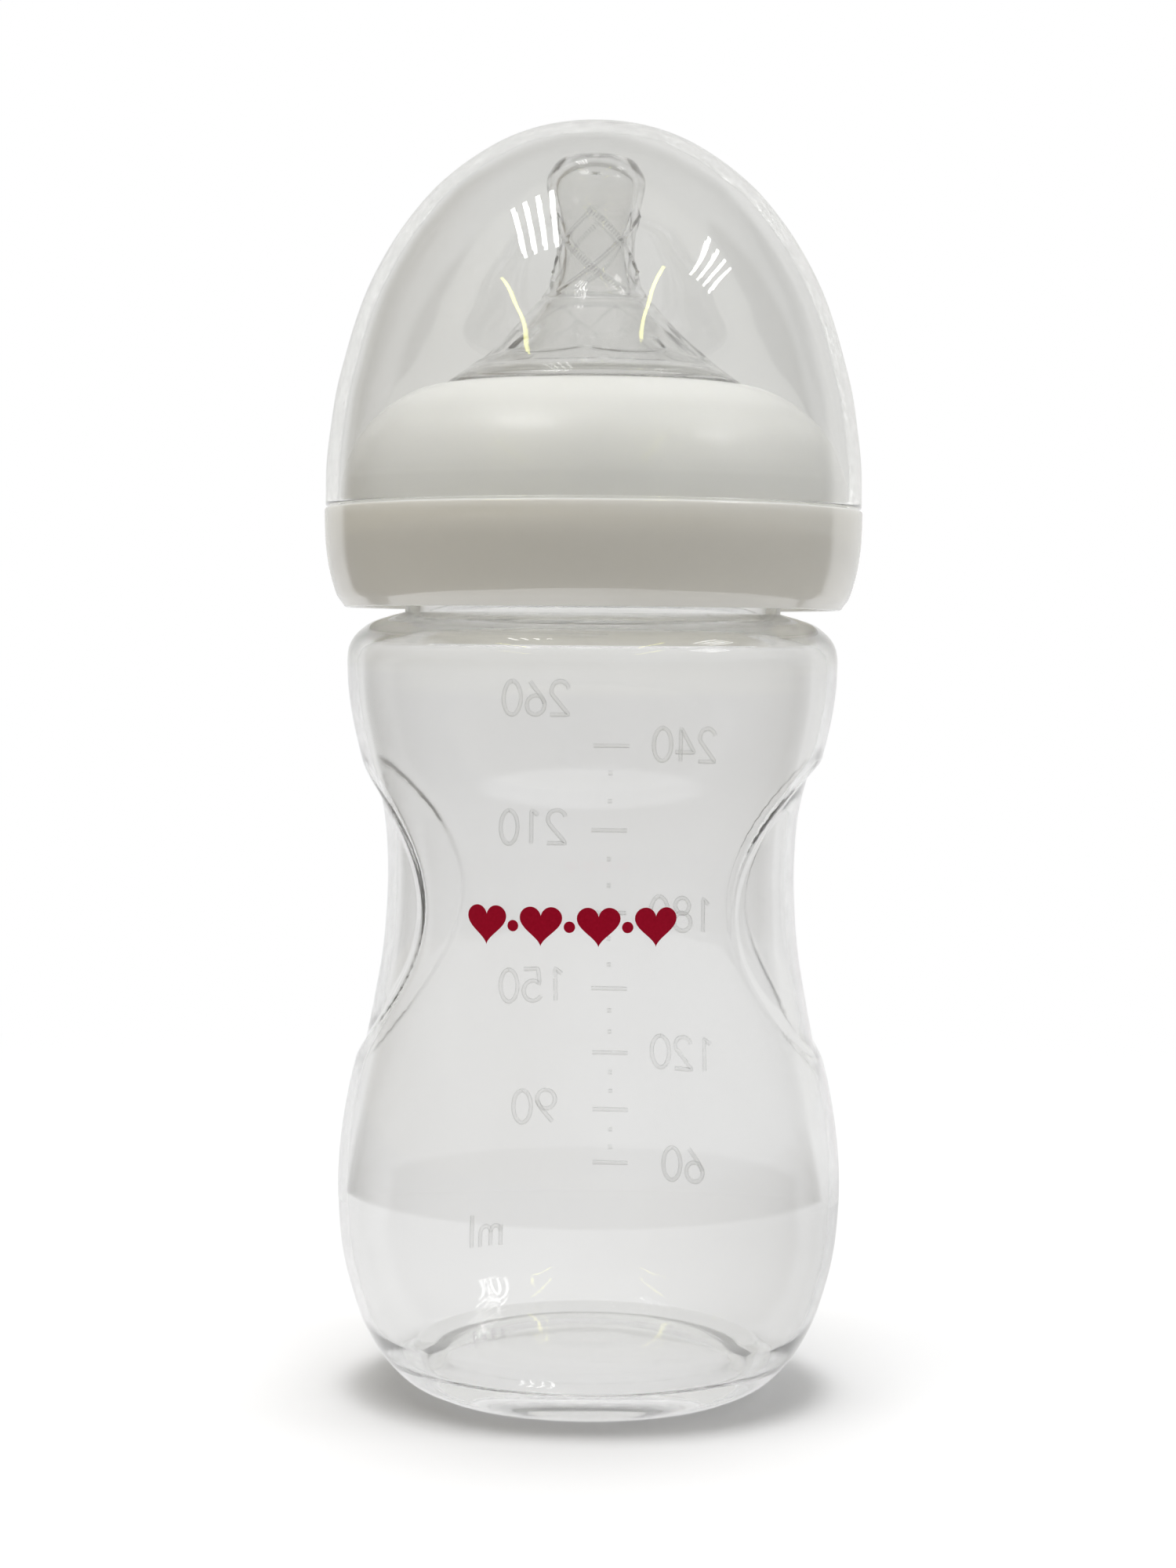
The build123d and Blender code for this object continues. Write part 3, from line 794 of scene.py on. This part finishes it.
# ---------------------------------------------------------------- printed motif
def motif_tree(material):
    """A row of small hearts with dots between them, wrapped round the waist of the bottle."""
    tree, inp, out = geometry_tree("printed_row", [
        ("Hearts", "NodeSocketInt"), ("Spacing", "NodeSocketFloat"), ("Heart Size", "NodeSocketFloat"),
        ("Dot Size", "NodeSocketFloat"), ("Height", "NodeSocketFloat"), ("Waist Height", "NodeSocketFloat"),
        ("Waist Radius", "NodeSocketFloat"), ("Waist Curve", "NodeSocketFloat"),
        ("Lift", "NodeSocketFloat"), ("Thickness", "NodeSocketFloat")])
    nodes, links = tree.nodes, tree.links

    def calc(op, a, b=0.0):
        return calculated(tree, op, a, b)

    def vector(x, y, z):
        return combined(tree, x, y, z)

    def moved(geometry, position):
        place = nodes.new("GeometryNodeSetPosition")
        links.new(geometry, place.inputs["Geometry"])
        links.new(position, place.inputs["Position"])
        return place.outputs["Geometry"]

    def filled(points, radius):
        ring = nodes.new("GeometryNodeCurvePrimitiveCircle")
        ring.inputs["Resolution"].default_value = points
        put(tree, radius, ring.inputs["Radius"])
        return ring.outputs["Curve"]

    def solid_disc(curve):
        fill = nodes.new("GeometryNodeFillCurve")
        fill.mode = "TRIANGLES"
        links.new(curve, fill.inputs["Curve"])
        fine = nodes.new("GeometryNodeSubdivideMesh")
        fine.inputs["Level"].default_value = 1
        links.new(fill.outputs["Mesh"], fine.inputs["Mesh"])
        return fine.outputs["Mesh"]

    turn = calc("MULTIPLY", nodes.new("GeometryNodeSplineParameter").outputs["Factor"], 2 * math.pi)
    sine = calc("SINE", turn)
    across = calc("MULTIPLY", calc("POWER", calc("ABSOLUTE", sine), 3.0), calc("SIGN", sine))
    up = calc("MULTIPLY", calc("COSINE", turn), 13.0)
    for k, weight in ((2, 5.0), (3, 2.0), (4, 1.0)):
        wave = calc("COSINE", calc("MULTIPLY", turn, float(k)))
        up = calc("SUBTRACT", up, calc("MULTIPLY", wave, weight))
    size = calc("DIVIDE", inp.outputs["Heart Size"], 32.0)
    heart_line = vector(calc("MULTIPLY", calc("MULTIPLY", across, 16.0), size),
                        calc("MULTIPLY", calc("ADD", up, 2.5), size), 0.0)
    heart = solid_disc(moved(filled(64, 1.0), heart_line))
    dot = solid_disc(filled(28, calc("DIVIDE", inp.outputs["Dot Size"], 2.0)))

    def row(count, shape):
        line = nodes.new("GeometryNodeMeshLine")
        put(tree, count, line.inputs["Count"])
        links.new(vector(inp.outputs["Spacing"], 0.0, 0.0), line.inputs["Offset"])
        length = calc("MULTIPLY", calc("SUBTRACT", count, 1.0), inp.outputs["Spacing"])
        start = calc("MULTIPLY", length, -0.5)
        links.new(vector(start, 0.0, 0.0), line.inputs["Start Location"])
        spread = nodes.new("GeometryNodeInstanceOnPoints")
        links.new(line.outputs["Mesh"], spread.inputs["Points"])
        links.new(shape, spread.inputs["Instance"])
        return spread.outputs["Instances"]

    both = nodes.new("GeometryNodeJoinGeometry")
    links.new(row(inp.outputs["Hearts"], heart), both.inputs["Geometry"])
    links.new(row(calc("SUBTRACT", inp.outputs["Hearts"], 1.0), dot), both.inputs["Geometry"])
    whole = nodes.new("GeometryNodeRealizeInstances")
    links.new(both.outputs["Geometry"], whole.inputs["Geometry"])

    flat = nodes.new("ShaderNodeSeparateXYZ")
    links.new(nodes.new("GeometryNodeInputPosition").outputs["Position"], flat.inputs["Vector"])
    z = calc("ADD", flat.outputs["Y"], inp.outputs["Height"])
    off = calc("SUBTRACT", z, inp.outputs["Waist Height"])
    bulge = calc("MULTIPLY", calc("MULTIPLY", off, off), inp.outputs["Waist Curve"])
    radius = calc("ADD", calc("ADD", inp.outputs["Waist Radius"], bulge), inp.outputs["Lift"])
    angle = calc("DIVIDE", flat.outputs["X"], radius)
    wrapped = moved(whole.outputs["Geometry"], vector(
        calc("MULTIPLY", calc("SINE", angle), radius),
        calc("MULTIPLY", calc("MULTIPLY", calc("COSINE", angle), radius), -1.0), z))
    thick = nodes.new("GeometryNodeExtrudeMesh")
    thick.inputs["Individual"].default_value = False
    links.new(wrapped, thick.inputs["Mesh"])
    links.new(inp.outputs["Thickness"], thick.inputs["Offset Scale"])
    under = nodes.new("GeometryNodeFlipFaces")
    links.new(wrapped, under.inputs["Mesh"])
    closed = nodes.new("GeometryNodeJoinGeometry")
    links.new(thick.outputs["Mesh"], closed.inputs["Geometry"])
    links.new(under.outputs["Mesh"], closed.inputs["Geometry"])
    return painted(tree, closed.outputs["Geometry"], material, out)


hearts = bake_tree("printed_hearts", motif_tree(print_ink), {
    "Hearts": 4, "Spacing": 7.6 * MM, "Heart Size": 5.7 * MM, "Dot Size": 1.5 * MM, "Height": 66.6 * MM,
    "Waist Height": 69.5 * MM, "Waist Radius": 29.2 * MM, "Waist Curve": 0.0063 / MM,
    "Lift": 0.02 * MM, "Thickness": 0.04 * MM}, print_ink)
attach(hearts, "container")


# ---------------------------------------------------------------- floor, light and camera
TABLE = 0.176                             # radius of the white table round the bottle
BEHIND = 0.6                              # the white sweep begins this far round behind, as a sine
CLOTH_NEAR, CLOTH_FAR = 0.88, 0.79        # how light it looks in the plastic, near and far
OWN = 0.01                                # with the lamp light on the floor this makes just white


def smooth_range(nt, source, a, b, low=0.0, high=1.0):
    m = nt.nodes.new("ShaderNodeMapRange")
    m.interpolation_type = "SMOOTHSTEP"
    for key, v in (("From Min", a), ("From Max", b), ("To Min", low), ("To Max", high)):
        m.inputs[key].default_value = v
    nt.links.new(source, m.inputs["Value"])
    return m.outputs["Result"]


def blend(nt, factor, a, b):
    """Mix of two colours; a and b are colours or sockets."""
    m = nt.nodes.new("ShaderNodeMix")
    m.data_type = "RGBA"
    for key, v in (("A", a), ("B", b)):
        if isinstance(v, tuple):
            m.inputs[key].default_value = (*v, 1)
        else:
            nt.links.new(v, m.inputs[key])
    nt.links.new(factor, m.inputs["Factor"])
    return m.outputs["Result"]


def shader_mix(nt, factor, a, b):
    m = nt.nodes.new("ShaderNodeMixShader")
    nt.links.new(factor, m.inputs["Fac"])
    nt.links.new(a, m.inputs[1])
    nt.links.new(b, m.inputs[2])
    return m.outputs["Shader"]


def glow(nt, strength, colour=(1, 1, 1)):
    e = nt.nodes.new("ShaderNodeEmission")
    e.inputs["Color"].default_value = (*colour, 1)
    put(nt, strength, e.inputs["Strength"])
    return e.outputs["Emission"]


def straight_through(nt, path, toward):
    """1 for what shows straight through a clear wall, without a reflection, away from the sweep."""
    plain = calculated(nt, "LESS_THAN", path.outputs["Glossy Depth"], 0.5)
    plain = calculated(nt, "MULTIPLY", plain, path.outputs["Is Transmission Ray"])
    return calculated(nt, "MULTIPLY", plain, smooth_range(nt, toward, 0.3, 0.05))


def floor():
    """White sweep: lit and shadowed near the bottle, plain white for the camera farther away,
    a little greyer in the reflections, with a dim room in front of the table's edge."""
    mesh = bpy.data.meshes.new("floor")
    bm = bmesh.new()
    bmesh.ops.create_grid(bm, x_segments=1, y_segments=1, size=6.0)
    bm.to_mesh(mesh)
    bm.free()
    obj = bpy.data.objects.new("floor", mesh)
    bpy.context.scene.collection.objects.link(obj)
    mat, nt, shader = new_material("white_floor")
    nt.nodes.remove(shader)
    spot = nt.nodes.new("ShaderNodeTexCoord")
    away = nt.nodes.new("ShaderNodeVectorMath")
    away.operation = "LENGTH"
    nt.links.new(spot.outputs["Object"], away.inputs[0])
    far = away.outputs["Value"]
    axis = nt.nodes.new("ShaderNodeSeparateXYZ")
    nt.links.new(spot.outputs["Object"], axis.inputs["Vector"])
    path = nt.nodes.new("ShaderNodeLightPath")
    seen = path.outputs["Is Camera Ray"]
    lit = nt.nodes.new("ShaderNodeBsdfDiffuse")
    lit.inputs["Color"].default_value = (0.85, 0.85, 0.862, 1)
    shaded = nt.nodes.new("ShaderNodeAddShader")
    nt.links.new(lit.outputs["BSDF"], shaded.inputs[0])
    nt.links.new(glow(nt, OWN), shaded.inputs[1])
    for_camera = shader_mix(nt, smooth_range(nt, far, 0.12, 0.4), shaded.outputs["Shader"],
                            glow(nt, 1.0))
    # Painted shadow: as seen in the plastic, the table is darker just to the right of the bottle, standing
    # in for the bottle's own shadow there.
    right = calculated(nt, "MULTIPLY", smooth_range(nt, axis.outputs["X"], -0.005, 0.05, 0.0, 0.16),
                        smooth_range(nt, far, 0.25, 0.1))
    tone = smooth_range(nt, far, 0.1, 2.5, CLOTH_NEAR, CLOTH_FAR)
    cloth = glow(nt, calculated(nt, "SUBTRACT", tone, right))
    pale = shader_mix(nt, smooth_range(nt, far, 0.02, 0.15, 0.8, 1.0), shaded.outputs["Shader"], cloth)
    table = smooth_range(nt, far, TABLE + 0.006, TABLE - 0.006)
    sine = calculated(nt, "DIVIDE", axis.outputs["Y"], far)
    behind = smooth_range(nt, sine, BEHIND - 0.05, BEHIND + 0.05)
    behind = calculated(nt, "MAXIMUM", behind, straight_through(nt, path, sine))
    dim = glow(nt, 0.2, (1.0, 0.95, 0.87))
    for_gloss = shader_mix(nt, calculated(nt, "MAXIMUM", table, behind), dim, pale)
    final = shader_mix(nt, seen, for_gloss, for_camera)
    nt.links.new(final, nt.nodes["Material Output"].inputs["Surface"])
    mesh.materials.append(mat)
    obj.location.z = -0.0002


def studio():
    """White for the camera. For every other ray a pale sweep behind and a dim room round the front,
    browner on the left and greyer on the right."""
    world = bpy.data.worlds.new("studio")
    bpy.context.scene.world = world
    world.use_nodes = True
    nt = world.node_tree
    spot = nt.nodes.new("ShaderNodeTexCoord")
    axis = nt.nodes.new("ShaderNodeSeparateXYZ")
    nt.links.new(spot.outputs["Generated"], axis.inputs["Vector"])
    path = nt.nodes.new("ShaderNodeLightPath")
    room = blend(nt, smooth_range(nt, axis.outputs["X"], -0.5, 0.6), (0.27, 0.25, 0.205), (0.30, 0.30, 0.29))
    ceiling = blend(nt, smooth_range(nt, axis.outputs["Z"], 0.55, 0.9), room, (0.42, 0.42, 0.40))
    wall = blend(nt, smooth_range(nt, axis.outputs["Z"], -0.02, 0.1),
                 (0.83, 0.83, 0.815), (0.765, 0.765, 0.75))
    away = calculated(nt, "MAXIMUM", smooth_range(nt, axis.outputs["Y"], 0.55, 0.66),
                       straight_through(nt, path, axis.outputs["Y"]))
    sweep = blend(nt, away, ceiling, wall)
    seen = blend(nt, path.outputs["Is Camera Ray"], sweep, (1.0, 1.0, 1.0))
    back = nt.nodes["Background"]
    nt.links.new(seen, back.inputs["Color"])
    back.inputs["Strength"].default_value = 1.0


floor()
studio()


def tube(name, start, end, thick, radiance, colour=(1, 1, 1)):
    """A fluorescent tube under the ceiling, as a long thin area lamp facing down."""
    a, b = Vector(start), Vector(end)
    data = bpy.data.lights.new(name, "AREA")
    data.shape = "RECTANGLE"
    data.size, data.size_y = thick, (b - a).length
    data.energy = radiance * math.pi * data.size * data.size_y
    data.color = colour
    obj = bpy.data.objects.new(name, data)
    obj.location = (a + b) / 2
    run = (b - a).normalized()
    side = run.cross(Vector((0, 0, 1))).normalized()
    down = side.cross(run)
    turn = Matrix((side, run, down)).transposed()
    obj.rotation_euler = turn.to_euler()
    bpy.context.scene.collection.objects.link(obj)
    return obj


CEILING = 1.0
for k in range(4):
    x = -0.445 + 0.075 * k
    tube("left_tube_%d" % k, (x, -0.07, CEILING), (x + 0.01, -0.44, CEILING), 0.026, 12.0)
    x = 0.69 + 0.085 * k
    tube("right_tube_%d" % k, (x, 0.03, CEILING), (x + 0.07, -0.34, CEILING), 0.026, 12.0)
for name, start, end in (("left_warm_tube", (-0.69, -0.58, CEILING), (-0.61, -1.2, CEILING)),
                         ("right_warm_tube", (0.54, -0.47, CEILING), (0.59, -1.1, CEILING))):
    tube(name, start, end, 0.027, 7.0, (1.0, 1.0, 0.25)).visible_diffuse = False


def soft_sun(name, azimuth, height, strength, spread, colour=(1, 1, 1)):
    """Even light from one side of the room, azimuth counted from the front; it shows in no reflection."""
    data = bpy.data.lights.new(name, "SUN")
    data.energy, data.angle, data.color = strength, math.radians(spread), colour
    obj = bpy.data.objects.new(name, data)
    a, h = math.radians(azimuth), math.radians(height)
    toward = Vector((math.sin(a) * math.cos(h), -math.cos(a) * math.cos(h), math.sin(h)))
    obj.rotation_euler = toward.to_track_quat("Z", "Y").to_euler()
    obj.visible_glossy = False
    obj.visible_transmission = False
    bpy.context.scene.collection.objects.link(obj)


soft_sun("overhead_front", 0, 82, 1.15, 20)
soft_sun("overhead_back", 180, 82, 0.87, 20)
soft_sun("left_fill", -60, 20, 0.34, 70, (1.0, 0.95, 0.86))
soft_sun("right_fill", 65, 20, 0.48, 70)

# Camera: a touch round to the right of the front, a little above the middle, 0.42 m away.
BEARING = math.radians(5.35)
DISTANCE = 0.4236
EYE_HEIGHT = 0.1035
TILT_DOWN, PAN, ROLL = math.radians(2.65), math.radians(0.066), math.radians(0.43)
camera_data = bpy.data.cameras.new("camera")
camera = bpy.data.objects.new("camera", camera_data)
bpy.context.scene.collection.objects.link(camera)
bpy.context.scene.camera = camera
camera_data.sensor_width = 36.0
camera_data.sensor_fit = "AUTO"
camera_data.lens = 69.95
camera_data.clip_start = 0.01
camera_data.clip_end = 50
camera.location = (DISTANCE * math.sin(BEARING), -DISTANCE * math.cos(BEARING), EYE_HEIGHT)
camera.rotation_mode = "XYZ"
camera.rotation_euler = (math.pi / 2 - TILT_DOWN, 0.0, BEARING + PAN)
camera.rotation_euler.rotate_axis("Z", ROLL)

scene = bpy.context.scene
scene.view_settings.view_transform = "Standard"
scene.cycles.max_bounces = 32
scene.cycles.transmission_bounces = 32
scene.cycles.glossy_bounces = 12
scene.cycles.transparent_max_bounces = 16
